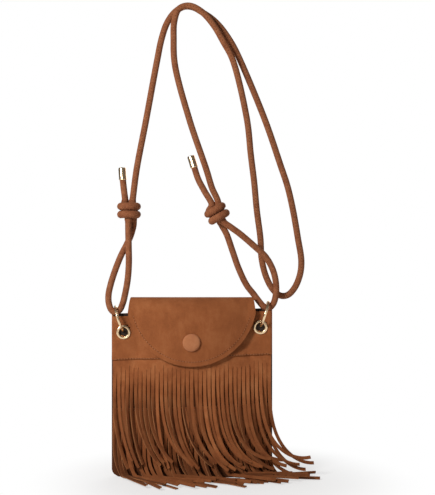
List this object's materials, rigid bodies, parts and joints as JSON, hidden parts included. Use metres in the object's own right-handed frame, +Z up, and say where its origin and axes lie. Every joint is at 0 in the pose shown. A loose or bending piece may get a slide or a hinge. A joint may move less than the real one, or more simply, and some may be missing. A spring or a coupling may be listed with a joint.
{
  "type": "fringed suede bag",
  "caption": "Flat suede pouch with tiers of swept fringe, a round snap flap that opens, rings in corner eyelets and a knotted cord strap that hangs from a hook.",
  "frame": {"origin": "underside of the strap's top bend, where it hangs on a hook", "axes": "+Z up, -Y towards the front with the flap and fringe, +X to the right seen from the front"},
  "size_m": [0.2213, 0.0827, 0.4729],
  "materials": {
    "suede": "brushed nap, matt",
    "lining_cloth": "plain dark woven cloth",
    "pale_gold": "polished pale gold plating",
    "suede_cord": "rolled suede cord, matt"
  },
  "bodies": {
    "pouch": {"front_band": "suede", "front_middle_panel": "suede", "front_lower_panel": "suede", "back_panel": "suede", "upper_fringe": "suede", "lower_fringe": "suede", "flap_neck": "suede", "lining_front": "lining_cloth", "lining_back": "lining_cloth", "snap_socket": "pale_gold", "eyelet_left": "pale_gold", "eyelet_washer_left": "pale_gold", "eyelet_right": "pale_gold", "eyelet_washer_right": "pale_gold", "cap_left": "pale_gold", "cap_right": "pale_gold", "shoulder_cord": "suede_cord", "loop_left": "suede_cord", "loop_right": "suede_cord", "tail_left": "suede_cord", "tail_right": "suede_cord", "knot_left": "suede_cord", "knot_right": "suede_cord"},
    "flap": {"flap": "suede", "flap_lining": "lining_cloth", "snap_stud": "pale_gold", "snap_button": "suede"},
    "ring_left": {"ring_left": "pale_gold"},
    "ring_right": {"ring_right": "pale_gold"}
  },
  "joints": [
    {"name": "flap_hinge", "type": "hinge", "parent": "pouch", "child": "flap", "pos_m": [0.005, -0.00241, -0.2855], "axis": [-1, 0, 0], "range_deg": [0, 160], "deforming": ["flap_neck"]},
    {"name": "ring_left_swing", "type": "hinge", "parent": "pouch", "child": "ring_left", "pos_m": [-0.06357, 0, -0.32121], "axis": [0, -1, 0], "range_deg": [-16, 14], "deforming": ["loop_left"]},
    {"name": "ring_right_swing", "type": "hinge", "parent": "pouch", "child": "ring_right", "pos_m": [0.07357, 0, -0.3163], "axis": [0, 1, 0], "range_deg": [-16, 14], "deforming": ["loop_right"]}
  ]
}
